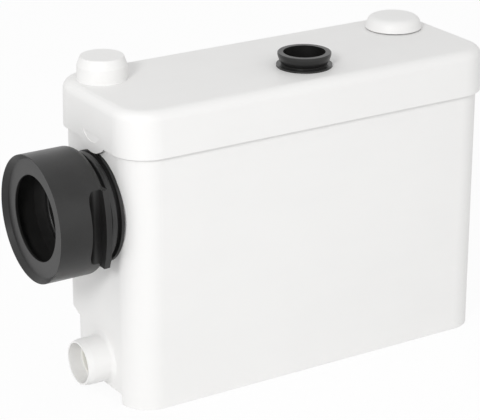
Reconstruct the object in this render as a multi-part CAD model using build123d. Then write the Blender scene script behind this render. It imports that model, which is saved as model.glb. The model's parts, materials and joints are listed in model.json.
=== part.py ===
# Macerator toilet pump: a slim white tank that stands behind a toilet pan. Waste enters through the
# black sleeve at the left end, a motor-driven blade shreds it inside a slotted basket, and a small
# centrifugal pump lifts it up a riser and out through the rubber grommet in the lid.
#
# Frame, in millimetres: X runs along the tank, the inlet sleeve at -X. Y runs front to back, the
# front face at -Y. Z is up, and z = 0 is the plane of the feet. Each piece is made with the tank's
# middle at x = 0. At the end all are slid along X, so that the middle of the whole length is there.

import math
import os

from build123d import *

# Driving dimensions

# Overall size
lid_length = 402.4
lid_depth = 151.4
lid_top_z = 290.0
skirt_height = 43.8

# Clearances and allowances used all over
seat_gap = 0.3            # between two pieces that are assembled by hand
shaft_gap = 0.05          # radial, shaft in a bearing or seal
pin_gap = 0.1             # radial, hinge pin in a knuckle
hole_gap = 0.25           # radial, screw shank in its hole
overrun = 1.0             # how far a cutting tool passes the face it cuts

# Lid
lid_wall = 2.2
lid_roof = 3.0
lid_edge_radius = 9.5
lid_draft = 1.0           # degrees
skirt_overhang = 4.3      # skirt face outside the tank face
tongue_width = 2.4
tab_width = 45.0
tab_drop = 9.0
window_width = 34.0
window_height = 8.2
window_sill = 1.1         # window's lowest point above the skirt edge
ramp_web = 0.8            # wall left at the top of the ramp that fills the window
ramp_inset = 0.35         # of the ramp's foot from the skirt's face
boss_x = -166.5
boss_y = 37.0
boss_radius = 23.4
boss_top_radius = 20.1
boss_height = 22.0
boss_bevel_height = 8.5
boss_top_round = 0.6
boss_root_fillet = 0.8
lid_lift_travel = 70.0

# Tank
tank_wall = 3.0
tank_corner = 29.0
floor_lift = 10.0         # underside of the floor above the feet plane
rail_lift = 0.3           # underside of the rails above the feet plane
front_rail_width = 28.0
rear_rail_width = 20.0
recess_height = 59.0      # rear wall steps forward over a skirting board
recess_gap = 2.0          # between the basket and the stepped wall
recess_slope_height = 6.0
rim_rise = 19.8           # rim above the skirt edge
rim_lip = 1.2
rim_lip_height = 4.0
gasket_thickness = 3.0
catch_width = 28.0
catch_height = 10.0
catch_depth = 1.5
rail_pocket_depth = 6.0
rail_rib = 4.0
rail_pocket_count = 6

# Feet
foot_radius = 8.0
foot_height = 3.0
foot_inset = 42.0         # from the end of the tank

# Inlet at the left end
end_axis_y = -4.0         # inlet, lid tab and catch share this line
inlet_z = 185.0
inlet_bore_radius = 40.0
collar_wall = 2.5
collar_length = 30.0
sleeve_length = 67.9
sleeve_radius = 59.3
sleeve_rim = 5.0          # lip plane behind the front rim
sleeve_bevel = 4.6
sleeve_rim_round = 0.3
lip_bore_radius = 39.8
lip_thickness = 2.5
lip_round = 0.4
pan_cavity_radius = 51.5
pan_cavity_end = 38.0     # from the tank wall
sleeve_rear = 16.5        # rear face of the thick body, from the tank wall
sleeve_rear_round = 8.0
neck_wall = 5.2
wing_thickness = 5.8
wing_half_height = 37.0
wing_drop = 2.0           # wing's middle below the inlet axis
wing_reach = 59.6
wing_edge_radius = 110.0
wing_pocket_length = 13.7
ring_near = 6.6           # clamp ring, from the tank wall
ring_width = 5.5
ring_radius = 51.6
seal_thickness = 3.0
seal_radius = 52.2

# Side inlet, low on the left end
spigot_y = -9.3
spigot_z = 35.3
spigot_radius = 22.2
spigot_mouth_radius = 21.0
spigot_bore_radius = 19.3
spigot_length = 26.5
spigot_lead = 6.0
spigot_root_fillet = 4.0

# Flap valves
flap_thickness = 2.5
flap_overlap = 3.0        # flap rim over its seat opening
flap_bead = 1.2
flap_ring_share = 0.6     # of the flap's radius
seat_rise = 3.0
frame_thickness = 3.0
ear_thickness = 3.0
flap_pin_radius = 1.5
knuckle_wall = 1.6
knuckle_length = 14.0
inlet_frame_bore = 37.0
inlet_frame_radius = 42.0
inlet_plug_length = 33.0  # frame's sleeve that plugs into the wall opening
side_frame_bore = 17.2
side_frame_radius = 22.0
side_plug_length = 16.0

# Discharge
discharge_x = 12.3
discharge_y = -27.5
pipe_radius = 13.0
pipe_bore = 10.5
riser_bend = 18.0
riser_top_z = 184.0
hose_wall = 3.0
hose_length = 16.0
valve_socket_depth = 14.0
valve_socket_wall = 3.0
valve_chamber_radius = 26.0
valve_chamber_height = 34.0
valve_cone = 6.0
valve_wall = 3.0
valve_neck_radius = 20.0
valve_neck_height = 14.0
outlet_socket_wall = 4.0
outlet_socket_gap = 9.0   # top of the socket below the lid top
clamp_width = 6.0
clamp_thickness = 1.0

# Lid grommet
grommet_flange_radius = 26.3
grommet_flange = 1.9
grommet_height = 13.6
grommet_lip_radius = 25.2
grommet_lip = 2.4
grommet_waist_radius = 21.6
grommet_waist_height = 1.2
grommet_bulge = 0.5       # of the cup's side
grommet_bore_radius = 19.8
grommet_hole_radius = 21.6
grommet_tail_radius = 24.4

# Vent in the lid
vent_x = 157.4
vent_y = 31.2
cap_radius = 27.9
cap_crown_radius = 24.2
cap_gap = 1.0             # under the cap's edge
cap_height = 13.3         # cap top above the lid
cap_wall = 2.0
cap_bulge = 0.3            # of the cap's side
vent_collar_radius = 21.0
vent_collar_height = 5.0
vent_bore_radius = 14.0
filter_radius = 17.0
filter_height = 18.0
filter_cup_wall = 1.8
cap_lift_travel = 14.0

# Motor
motor_x = -70.0
shaft_radius = 6.0
can_radius = 49.0
can_wall = 2.5
can_height = 112.0
flange_thickness = 6.0
stator_height = 55.0
stator_bore = 27.0
air_gap = 0.6
slot_count = 12
slot_width = 5.0
slot_depth = 9.0
coil_overhang = 14.0
lower_bearing_radius = 17.5
lower_bearing_height = 11.0
upper_bearing_radius = 16.0
upper_bearing_height = 10.0
seal_body_radius = 10.0
cover_thickness = 4.0
cover_hub_height = 12.0
can_ear_radius = 5.0
can_screw_offset = 53.0

# Pump and basket
basket_radius = 50.0
basket_wall = 2.6
basket_floor = 3.0
basket_height = 66.0
basket_rim = 5.0
basket_slots = 28
basket_slot_width = 4.6
basket_slot_height = 34.0
basket_ribs = 6
basket_rib_depth = 3.0
window_half_width = 34.0
blade_half_length = 42.0
blade_width = 20.0
blade_thickness = 3.0
blade_tip_rise = 14.0
blade_clearance = 7.0     # under the blade
volute_start_radius = 33.0
volute_step = 2.3
volute_wall = 3.0
volute_height = 20.0      # inside
volute_roof = 3.0
suction_plate = 4.0
suction_lip = 2.0
suction_eye_radius = 16.0
impeller_radius = 30.0
impeller_plate = 2.5
vane_thickness = 2.4
vane_count = 6
vane_arc_share = 0.62     # of the impeller's radius
impeller_gap = 2.0
post_radius = 5.5
post_offset = 45.0
front_post_gap = 2.5      # between a front post and the pump outlet
pump_z = 35.0             # centre plane of the pump chamber
lug_angles = (25, 115, 205)
lug_offset = 44.0
lug_radius = 4.5

# Chute from the inlet to the basket
chute_wall = 2.5
chute_start_drop = 48.0   # under the inlet axis
chute_end_z = 86.0
chute_side = 12.0

# Pressure switch
bell_x = 78.0
bell_radius = 20.0
bell_wall = 2.5
bell_floor_gap = 9.0
deck_z = 150.0            # mounting level of the switch and the electrics box
dish_radius = 37.0
dish_height = 10.0
dish_wall = 2.5
diaphragm_thickness = 1.5
switch_height = 42.0
plunger_plate_radius = 15.0
plunger_plate = 2.2
plunger_stem_radius = 3.0
plunger_travel = 2.5
micro_length = 28.0
micro_height = 16.0
micro_thickness = 10.3
lever_length = 24.0
lever_thickness = 0.8
lever_width = 6.0
lever_reach = 14.0        # pivot to plunger
button_reach = 5.0        # pivot to button
button_radius = 1.5
button_height = 1.6
micro_hole_radius = 1.6
micro_hole_shares = (0.4, 0.88)   # of the microswitch's length

# Electrics box
box_x = 154.0
box_length = 64.0
box_ear_gap = 6.0         # from the box to the round end of an ear
box_height = 80.0
box_wall = 2.5
box_cover = 3.0
capacitor_radius = 18.0
capacitor_gap = 3.5       # over the capacitor's tags
capacitor_side_gap = 5.0  # from the capacitor to the box wall in front
block_length = 38.0
block_depth = 18.0
block_height = 15.0
deck_post_radius = 5.5
deck_post_gap = 2.4       # from an ear to the tank wall
ear_width = 14.0
ear_plate = 4.0
lead_radius = 3.0
lead_bend = 14.0
bush_x = 150.0
bush_z = 226.0
bush_radius = 10.0
bush_bore = 4.0

# Screws
screw_radius = 2.0
screw_head_radius = 4.0
screw_head = 2.6
screw_bite = 14.0

# Worked-out places

tank_length = lid_length - 2 * skirt_overhang
tank_depth = lid_depth - 2 * skirt_overhang
skirt_z = lid_top_z - skirt_height
rim_z = skirt_z + rim_rise
floor_z = floor_lift + tank_wall
end_x = -tank_length / 2
inner_end_x = end_x + tank_wall
lid_corner = tank_corner + skirt_overhang
roof_z = lid_top_z - lid_roof

volute_end_radius = volute_start_radius + 3 * volute_step
motor_y = discharge_y + volute_end_radius + volute_step / 2 - pipe_bore
chamber_floor_z = pump_z - volute_height / 2
chamber_roof_z = pump_z + volute_height / 2
basket_z = chamber_roof_z + volute_roof
basket_top_z = basket_z + basket_height
flange_z = basket_top_z
can_z = flange_z + flange_thickness
can_top_z = can_z + can_height
blade_z = basket_z + basket_floor + blade_clearance
stator_z = can_z + (can_height - stator_height) / 2
recess_depth = tank_depth / 2 - tank_wall - motor_y - basket_radius - recess_gap
front_post_y = discharge_y - pipe_radius - front_post_gap - post_radius
post_places = [(motor_x + i * post_offset, y) for i in (-1, 1)
               for y in (front_post_y, motor_y + post_offset)]
deck_post_y = tank_depth / 2 - tank_wall - deck_post_gap - ear_width / 2
box_depth = 2 * (deck_post_y - ear_width / 2 - box_ear_gap)
capacitor_height = box_height - box_wall - lever_width - capacitor_gap
deck_posts = [(x, s * deck_post_y) for x in (bell_x, box_x) for s in (-1, 1)]


# Helpers

def cylinder(radius, z0, z1, x=0.0, y=0.0):
    """Upright cylinder between two heights."""
    return Pos(x, y, (z0 + z1) / 2) * Cylinder(radius, z1 - z0)


def block(x0, x1, y0, y1, z0, z1):
    """Box between two corners."""
    return Pos((x0 + x1) / 2, (y0 + y1) / 2, (z0 + z1) / 2) * Box(x1 - x0, y1 - y0, z1 - z0)


def turned(points):
    """Solid of revolution about Z from a closed outline of (radius, height) points."""
    return revolve(Plane.XZ * make_face(Polyline(*points, close=True)), Axis.Z)


def outward(solid, y, z):
    """Put a solid that was made along +Z on the left end, its +Z pointing out at -X."""
    return Pos(end_x, y, z) * Rot(0, -90, 0) * solid


def rounded(length, depth, corner, z, y=0.0):
    """Rounded rectangle lying at a height."""
    return Plane.XY.offset(z) * Pos(0, y) * RectangleRounded(length, depth, corner)


def tank_outline(inset, step, z):
    """Outline of the tank at a height, moved in by an inset, its back stepped forward."""
    return rounded(tank_length - 2 * inset, tank_depth - 2 * inset - step, tank_corner - inset, z, -step / 2)


def tank_form(inset, z0, z1):
    """Tank volume between two heights, moved in by an inset, with the sloped step at the back."""
    knee = recess_height + inset
    shoulder = knee + recess_slope_height
    lower = extrude(tank_outline(inset, recess_depth, z0), knee - z0)
    slope = loft([tank_outline(inset, recess_depth, knee), tank_outline(inset, 0.0, shoulder)], ruled=True)
    upper = extrude(tank_outline(inset, 0.0, shoulder), z1 - shoulder)
    return lower + slope + upper


def lid_outline(inset, z):
    """Outline of the lid at a height, moved in by an inset."""
    lean = math.tan(math.radians(lid_draft)) * (z - skirt_z) + inset
    return rounded(lid_length - 2 * lean, lid_depth - 2 * lean, lid_corner - lean, z)


def lid_form(inset, z0, z1, edge):
    """Lid volume between two heights, with its upper edge rounded."""
    form = loft([lid_outline(inset, z0), lid_outline(inset, z1)], ruled=True)
    return fillet(form.faces().sort_by(Axis.Z)[-1].edges(), edge)


def ring_wall(outer, inner, z0, z1, x=0.0, y=0.0):
    """Tube between two heights."""
    return cylinder(outer, z0, z1, x, y) - cylinder(inner, z0 - overrun, z1 + overrun, x, y)


def screw(x, y, z, bite=screw_bite):
    """Pan-head screw standing head up, its seat at the given height."""
    head = cylinder(screw_head_radius, z, z + screw_head, x, y)
    head = chamfer(head.edges().sort_by(Axis.Z)[-1], screw_head / 3)
    return head + cylinder(screw_radius, z - bite, z, x, y)


def half_disc(width, height):
    """Flat-topped segment of a circle hanging below the origin, drawn in X and Y."""
    arc = ThreePointArc((-width / 2, 0), (0, -height), (width / 2, 0))
    return make_face(Curve() + [arc, Line((width / 2, 0), (-width / 2, 0))])


def circles(solid, radius, z):
    """Circular edges of a radius at a height."""
    return [e for e in solid.edges().filter_by(GeomType.CIRCLE)
            if abs(e.radius - radius) < shaft_gap and abs(e.center().Z - z) < shaft_gap]


def end_plate(sketch, x0, thickness, y, z):
    """Extrude a sketch drawn in Y and Z from a plane across the tank towards +X."""
    plane = Plane(origin=(x0, y, z), x_dir=(0, 1, 0), z_dir=(1, 0, 0))
    return extrude(plane * sketch, thickness)


# Tank and feet

def tank_posts():
    """Posts inside the tank: four under the motor, and four with webs to the wall at the deck level."""
    low = floor_z - tank_wall / 2
    posts = cylinder(post_radius, low, basket_top_z - basket_rim, *post_places[0])
    for x, y in post_places[1:]:
        posts += cylinder(post_radius, low, basket_top_z - basket_rim, x, y)
    for x, y in deck_posts:
        near, far = sorted((y, math.copysign(tank_depth / 2, y)))
        posts += cylinder(deck_post_radius, low, deck_z, x, y)
        posts += block(x - tank_wall / 2, x + tank_wall / 2, near, far, low, deck_z - tank_wall)
    posts &= tank_form(tank_wall / 2, low, rim_z)
    for x, y in post_places:
        posts -= cylinder(screw_radius + hole_gap, basket_top_z - 2 * screw_bite, basket_top_z, x, y)
    for x, y in deck_posts:
        posts -= cylinder(screw_radius + hole_gap, deck_z - 2 * screw_bite, deck_z + overrun, x, y)
    return posts


def make_catch(side):
    """Snap wedge on one end wall, sloping out and down, flat underneath."""
    face = side * tank_length / 2
    root = face - side * tank_wall / 2
    low = skirt_z + window_sill + seat_gap
    high = skirt_z + catch_height
    wedge = make_face(Polyline((face, high), (face + side * catch_depth, low), (root, low), (root, high),
                               close=True))
    return extrude(Plane.XZ.offset(-end_axis_y) * wedge, catch_width / 2, both=True)


def make_spigot():
    """Side spigot with a lead-in at its mouth and a rounded root, outward along +Z."""
    root = spigot_radius + spigot_root_fillet
    blend = math.sqrt(0.5) * spigot_root_fillet
    low = Polyline((spigot_radius, spigot_root_fillet), (spigot_radius, spigot_length - spigot_lead),
                   (spigot_mouth_radius, spigot_length), (0, spigot_length), (0, -tank_wall / 2),
                   (root, -tank_wall / 2), (root, 0))
    arc = ThreePointArc((root, 0), (root - blend, spigot_root_fillet - blend),
                        (spigot_radius, spigot_root_fillet))
    return revolve(Plane.XZ * make_face(Curve() + [low, arc]), Axis.Z)


def make_tank():
    """White moulded tank with the inlet collar, side spigot, posts, catches and hollow rails."""
    body = tank_form(0.0, rail_lift, rim_z)
    lip_outline = rounded(tank_length + 2 * rim_lip, tank_depth + 2 * rim_lip, tank_corner + rim_lip,
                          rim_z - rim_lip_height)
    body += extrude(lip_outline, rim_lip_height)
    collar_radius = inlet_bore_radius + collar_wall
    body += outward(cylinder(collar_radius, -tank_wall / 2, collar_length), end_axis_y, inlet_z)
    body += outward(make_spigot(), spigot_y, spigot_z)
    channel_front = -tank_depth / 2 + front_rail_width
    channel_back = tank_depth / 2 - recess_depth - rear_rail_width
    body -= block(-tank_length, tank_length, channel_front, channel_back, -tank_corner, floor_lift)

    body -= tank_form(tank_wall, floor_z, rim_z + overrun)
    body -= outward(cylinder(inlet_bore_radius, -2 * tank_wall, collar_length + overrun), end_axis_y, inlet_z)
    body -= outward(cylinder(spigot_bore_radius, -2 * tank_wall, spigot_length + overrun), spigot_y, spigot_z)
    body += tank_posts()
    for side in (-1, 1):
        body += make_catch(side)

    pitch = (tank_length - 2 * tank_corner) / rail_pocket_count
    rails = [(-tank_depth / 2, channel_front), (channel_back, tank_depth / 2 - recess_depth)]
    for near, far in rails:
        for i in range(1, rail_pocket_count - 1):
            middle = (i + 0.5 - rail_pocket_count / 2) * pitch
            body -= block(middle - pitch / 2 + rail_rib / 2, middle + pitch / 2 - rail_rib / 2,
                          near + rail_rib, far - rail_rib, -overrun, rail_pocket_depth)
    for x, y in foot_places():
        body -= cylinder(foot_radius + seat_gap, -overrun, foot_height, x, y)
    body -= Pos(bush_x, tank_depth / 2, bush_z) * Rot(90, 0, 0) * Cylinder(bush_radius - tank_wall,
                                                                        4 * tank_wall)
    return body


def foot_places():
    """Centres of the four feet, two under each rail."""
    x = tank_length / 2 - foot_inset
    front = -tank_depth / 2 + front_rail_width / 2
    back = tank_depth / 2 - recess_depth - rear_rail_width / 2
    return [(i * x, y) for i in (-1, 1) for y in (front, back)]


def make_feet():
    """Four rubber feet in their pockets under the rails."""
    return [chamfer(cylinder(foot_radius, 0.0, foot_height, x, y).edges().sort_by(Axis.Z)[0], seat_gap)
            for x, y in foot_places()]


# Lid

def make_lid():
    """White lid with the blanked boss, ramped snap tabs, sealing tongue, grommet hole and vent collar."""
    body = lid_form(0.0, skirt_z, lid_top_z, lid_edge_radius)
    body -= lid_form(lid_wall, skirt_z, roof_z, lid_edge_radius - lid_wall)

    boss_z = lid_top_z - lid_roof / 2
    boss = turned([(0, boss_z), (boss_radius, boss_z),
                   (boss_radius, lid_top_z + boss_height - boss_bevel_height),
                   (boss_top_radius, lid_top_z + boss_height), (0, lid_top_z + boss_height)])
    body += Pos(boss_x, boss_y, 0) * boss
    body = fillet(circles(body, boss_radius, lid_top_z), boss_root_fillet)
    body = fillet(circles(body, boss_top_radius, lid_top_z + boss_height), boss_top_round)
    body -= Pos(boss_x, boss_y, 0) * turned(
        [(0, roof_z - overrun), (boss_radius - lid_wall, roof_z - overrun),
         (boss_radius - lid_wall, lid_top_z + boss_height - boss_bevel_height),
         (boss_top_radius - lid_wall, lid_top_z + boss_height - lid_wall),
         (0, lid_top_z + boss_height - lid_wall)])

    tongue_z = rim_z + gasket_thickness
    middle = tank_wall / 2
    outer = rounded(tank_length - 2 * middle + tongue_width, tank_depth - 2 * middle + tongue_width,
                    tank_corner - middle + tongue_width / 2, tongue_z)
    inner = rounded(tank_length - 2 * middle - tongue_width, tank_depth - 2 * middle - tongue_width,
                    tank_corner - middle - tongue_width / 2, tongue_z)
    body += extrude(outer - inner, roof_z + lid_roof / 2 - tongue_z) & lid_form(0.0, skirt_z, lid_top_z,
                                                                                 lid_edge_radius)

    for x0 in (-lid_length / 2, lid_length / 2 - lid_wall):
        body += end_plate(half_disc(tab_width, tab_drop), x0, lid_wall, end_axis_y, skirt_z)
        body -= end_plate(half_disc(window_width, window_height), x0 - overrun, lid_wall + 2 * overrun,
                          end_axis_y, skirt_z + window_sill + window_height)
    for side in (-1, 1):
        body += make_tab_ramp(side)

    body -= cylinder(grommet_hole_radius, roof_z - overrun, lid_top_z + overrun, discharge_x, discharge_y)
    body += cylinder(vent_collar_radius, lid_top_z - lid_roof / 2, lid_top_z + vent_collar_height,
                     vent_x, vent_y)
    body -= cylinder(vent_bore_radius, roof_z - overrun, lid_top_z + vent_collar_height + overrun,
                     vent_x, vent_y)
    socket = filter_radius + 2 * seat_gap + filter_cup_wall
    body += ring_wall(socket + lid_wall, socket, roof_z - filter_height / 2, roof_z + lid_roof / 2, vent_x,
                      vent_y)
    for i in range(4):
        notch = block(vent_bore_radius - overrun, vent_collar_radius + overrun, -lid_wall, lid_wall,
                      lid_top_z + cap_gap, lid_top_z + vent_collar_height + overrun)
        body -= Pos(vent_x, vent_y, 0) * Rot(0, 0, 45 + 90 * i) * notch
    return body


def make_tab_ramp(side):
    """Ramp that fills a tab's window, set in a little at its sill and deep at its top."""
    sill = skirt_z + window_sill
    top = sill + window_height
    face = side * lid_length / 2
    back = face - side * lid_wall
    ramp = make_face(Polyline((face - side * ramp_inset, sill), (back + side * ramp_web, top), (back, top),
                              (back, sill), close=True))
    ramp = extrude(Plane.XZ.offset(-end_axis_y) * ramp, window_width / 2, both=True)
    window = end_plate(half_disc(window_width, window_height), min(face, back), lid_wall, end_axis_y, top)
    return ramp & window


def make_gasket():
    """Rubber gasket lying on the tank rim."""
    outer = rounded(tank_length + rim_lip, tank_depth + rim_lip, tank_corner + rim_lip / 2, rim_z)
    inner = rounded(tank_length - 2 * tank_wall, tank_depth - 2 * tank_wall, tank_corner - tank_wall, rim_z)
    return extrude(outer - inner, gasket_thickness)


def make_grommet():
    """Black rubber grommet: a cone-shaped cup above the lid, a waist in the hole, a flange below."""
    top = lid_top_z + grommet_height
    low = roof_z - grommet_flange
    neck = grommet_hole_radius - seat_gap / 2
    flange_top = lid_top_z + grommet_flange
    waist_top = flange_top + grommet_waist_height
    rim_low = top - grommet_lip
    under = Polyline((grommet_bore_radius, top), (grommet_bore_radius, low),
                     (grommet_tail_radius, low + grommet_flange / 2), (grommet_tail_radius, roof_z),
                     (neck, roof_z), (neck, lid_top_z), (grommet_flange_radius, lid_top_z),
                     (grommet_flange_radius, flange_top), (grommet_waist_radius, flange_top),
                     (grommet_waist_radius, waist_top))
    side = ThreePointArc((grommet_waist_radius, waist_top),
                         ((grommet_waist_radius + grommet_lip_radius) / 2 + grommet_bulge,
                          (waist_top + rim_low) / 2),
                         (grommet_lip_radius, rim_low))
    rim = Polyline((grommet_lip_radius, rim_low), (grommet_lip_radius, top - grommet_lip / 4),
                   (grommet_lip_radius - grommet_lip / 4, top), (grommet_bore_radius, top))
    face = make_face(Curve() + [under, side, rim])
    return Pos(discharge_x, discharge_y, 0) * revolve(Plane.XZ * face, Axis.Z)


def make_vent_cap():
    """Domed white cap: an inner skirt grips the vent collar, an outer skirt hangs clear of the lid."""
    low = lid_top_z + cap_gap
    top = lid_top_z + cap_height
    inner = vent_collar_radius + seat_gap / 2
    roof = lid_top_z + vent_collar_height + seat_gap
    outer = cap_radius - cap_wall
    rim = cap_wall / 4
    under = Polyline((0, roof), (inner, roof), (inner, low + cap_gap), (inner + cap_wall, low + cap_gap),
                     (inner + cap_wall, roof), (outer - cap_wall / 2, roof), (outer, low), (cap_radius - rim, low),
                     (cap_radius, low + rim))
    shoulder = top - 2 * rim
    side = ThreePointArc((cap_radius, low + rim),
                         ((cap_radius + cap_crown_radius) / 2 + cap_bulge, (low + rim + shoulder) / 2),
                         (cap_crown_radius, shoulder))
    dome = (cap_crown_radius ** 2 + (top - shoulder) ** 2) / (2 * (top - shoulder))
    half = math.asin(cap_crown_radius / dome) / 2
    crown = ThreePointArc((cap_crown_radius, shoulder),
                          (dome * math.sin(half), top - dome + dome * math.cos(half)), (0, top))
    face = make_face(Curve() + [under, side, crown, Line((0, top), (0, roof))])
    return Pos(vent_x, vent_y, 0) * revolve(Plane.XZ * face, Axis.Z)


def make_filter():
    """Carbon filter disc under the vent."""
    low = roof_z - filter_height
    return chamfer(cylinder(filter_radius, low, roof_z, vent_x, vent_y).edges(), seat_gap)


def make_filter_cup():
    """Cup that holds the filter against the underside of the lid, with a grille in its floor."""
    outer = filter_radius + seat_gap + filter_cup_wall
    low = roof_z - filter_height - filter_cup_wall
    cup = cylinder(outer, low, roof_z) - cylinder(filter_radius + seat_gap, low + filter_cup_wall,
                                                  roof_z + overrun)
    for i in range(5):
        y = (i - 2) * filter_radius / 3
        half = math.sqrt(filter_radius ** 2 - y ** 2) - filter_cup_wall
        cup -= block(-half, half, y - filter_cup_wall / 2, y + filter_cup_wall / 2, low - overrun,
                     low + filter_cup_wall + overrun / 2)
    return Pos(vent_x, vent_y, 0) * cup


# Inlet

def make_sleeve():
    """Thick rubber inlet sleeve with a recessed sealing lip and a grip wing each side."""
    lip_top = sleeve_length - sleeve_rim
    neck_bore = inlet_bore_radius + collar_wall + seat_gap / 2
    neck = neck_bore + neck_wall
    stop = collar_length + seat_gap
    body = turned([(neck_bore, seal_thickness), (neck, seal_thickness), (neck, sleeve_rear),
                   (sleeve_radius, sleeve_rear), (sleeve_radius, sleeve_length),
                   (sleeve_radius - sleeve_bevel, lip_top), (lip_bore_radius + lip_round, lip_top),
                   (lip_bore_radius, lip_top - lip_round), (lip_bore_radius, lip_top - lip_thickness),
                   (pan_cavity_radius, lip_top - lip_thickness), (pan_cavity_radius, pan_cavity_end),
                   (inlet_bore_radius, stop + lip_thickness), (inlet_bore_radius, stop), (neck_bore, stop)])
    body = fillet(circles(body, sleeve_radius, sleeve_length), sleeve_rim_round)
    body = fillet(circles(body, sleeve_radius, sleeve_rear), sleeve_rear_round)
    wing_low = -wing_drop - wing_half_height
    wing_high = -wing_drop + wing_half_height
    for side in (-1, 1):
        pocket = block(wing_low, wing_high, neck, 2 * wing_reach, sleeve_rear + wing_thickness,
                       sleeve_rear + wing_thickness + wing_pocket_length)
        front_edge = pocket.edges().filter_by(Axis.X).sort_by(lambda e: e.center().Y - e.center().Z)[0]
        pocket = fillet(front_edge, sleeve_rear_round)
        body -= pocket if side > 0 else mirror(pocket, Plane.XZ)
    plate = block(wing_low, wing_high, -wing_reach, wing_reach, sleeve_rear, sleeve_rear + wing_thickness)
    for side in (-1, 1):
        plate &= cylinder(wing_edge_radius, 0, sleeve_radius, -wing_drop, side * (wing_edge_radius - wing_reach))
    plate -= cylinder(neck - overrun, sleeve_rear - overrun, sleeve_radius)
    return outward(body + plate, end_axis_y, inlet_z)


def make_sleeve_ring():
    """Clamp ring round the neck of the sleeve."""
    inner = inlet_bore_radius + collar_wall + neck_wall + seat_gap
    body = ring_wall(ring_radius, inner, ring_near, ring_near + ring_width)
    body = chamfer(circles(body, ring_radius, ring_near) + circles(body, ring_radius, ring_near + ring_width),
                   overrun / 2)
    return outward(body, end_axis_y, inlet_z)


def make_wall_seal():
    """Flat rubber seal between the sleeve and the tank wall."""
    inner = inlet_bore_radius + collar_wall + seat_gap / 2
    return outward(ring_wall(seal_radius, inner, 0.0, seal_thickness), end_axis_y, inlet_z)


# Flap valves. Each is drawn with the flow along +Z, its seat at z = 0 and its hinge along Y on the +X side.

def hinge_height():
    """Height of the hinge line above the seat ring; the flap lies beyond it, so its weight closes it."""
    return flap_pin_radius + knuckle_wall + 2 * seat_gap


def hinge_offset(bore):
    """Distance of the hinge line from the middle of the opening."""
    return bore + flap_overlap + flap_pin_radius + knuckle_wall + seat_gap


def on_hinge(bore, solid, y=0.0):
    """Turn an upright round solid onto the hinge line."""
    return Pos(hinge_offset(bore), y, hinge_height()) * Rot(90, 0, 0) * solid


def ear_pair(bore):
    """Two ears that carry the hinge pin."""
    reach = flap_pin_radius + knuckle_wall
    x = hinge_offset(bore)
    inside = knuckle_length / 2 + seat_gap
    ear = block(x - reach, x + reach, inside, inside + ear_thickness, -overrun / 2, hinge_height())
    ear += on_hinge(bore, Cylinder(reach, ear_thickness), inside + ear_thickness / 2)
    ear -= on_hinge(bore, Cylinder(flap_pin_radius + pin_gap / 2, 4 * ear_thickness), inside)
    return ear + mirror(ear, Plane.XZ)


def flap_frame(bore, radius, opening, plug_length):
    """Ring with a raised seat, hinge ears and a sleeve that plugs into the opening of the wall."""
    ring = ring_wall(radius, bore, -frame_thickness, 0.0)
    ring += ring_wall(opening - seat_gap / 2, bore, -frame_thickness - plug_length, -overrun)
    ring += ring_wall(bore + flap_bead, bore, -overrun, seat_rise)
    x = hinge_offset(bore)
    reach = flap_pin_radius + knuckle_wall
    half = knuckle_length / 2 + seat_gap + ear_thickness
    lug = block(bore + flap_bead, x + reach, -half, half, -frame_thickness, 0.0)
    return ring + lug + ear_pair(bore)


def flap_disc(bore):
    """Round flap with a stiffening ring, an arm and a knuckle on the hinge line."""
    radius = bore + flap_overlap
    low = seat_rise + seat_gap
    high = low + flap_thickness
    inner = radius * flap_ring_share
    disc = cylinder(radius, low, high)
    disc += ring_wall(inner, inner - flap_bead, low, high + flap_bead)
    half = knuckle_length / 2
    disc += block(inner - flap_bead / 2, hinge_offset(bore), -half, half, low, high + flap_bead)
    disc += on_hinge(bore, Cylinder(flap_pin_radius + knuckle_wall, knuckle_length))
    return disc - on_hinge(bore, Cylinder(flap_pin_radius + pin_gap, 2 * knuckle_length))


def flap_pin(bore):
    """Hinge pin with a small head at each end."""
    half = knuckle_length / 2 + seat_gap + ear_thickness + seat_gap
    pin = Cylinder(flap_pin_radius, 2 * half)
    for side in (-1, 1):
        pin += Pos(0, 0, side * (half + overrun / 2)) * Cylinder(flap_pin_radius + overrun / 2, overrun)
    return on_hinge(bore, pin)


def inward(y, z):
    """Place for a flap valve on the inside of the left end wall, hinge on top."""
    origin = (inner_end_x + frame_thickness + seat_gap, y, z)
    return Plane(origin=origin, x_dir=(0, 0, 1), z_dir=(1, 0, 0)).location


def valve_seat():
    """Place of the discharge flap, at the foot of its chamber."""
    return Pos(discharge_x, discharge_y, riser_top_z + valve_wall)


# Chute and basket

def make_chute():
    """Sloping trough that leads what comes in to the window of the basket."""
    x0 = inner_end_x + seat_gap
    x1 = motor_x - math.sqrt(basket_radius ** 2 - window_half_width ** 2) - seat_gap
    z0 = inlet_z - chute_start_drop
    z1 = chute_end_z
    side = Polyline((x0, z0), (x1, z1), (x1, z1 + chute_side), (x0, z0 + overrun), close=True)
    floor = Polyline((x0, z0), (x1, z1), (x1, z1 - chute_wall), (x0, z0 - chute_wall), close=True)
    half = window_half_width - overrun
    body = extrude(Plane.XZ.offset(-motor_y - half) * make_face(floor), 2 * half)
    for y in (motor_y - half, motor_y + half - chute_wall):
        wall = Polyline((x0, z0 - overrun), (x1, z1 - overrun), (x1, z1 + chute_side), (x0, z0 + overrun),
                        close=True)
        body += extrude(Plane.XZ.offset(-y - chute_wall) * make_face(wall), chute_wall)
    lip = block(x0, x0 + chute_wall, motor_y - half, motor_y + half, z0 - 4 * chute_wall, z0)
    return body + lip


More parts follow.
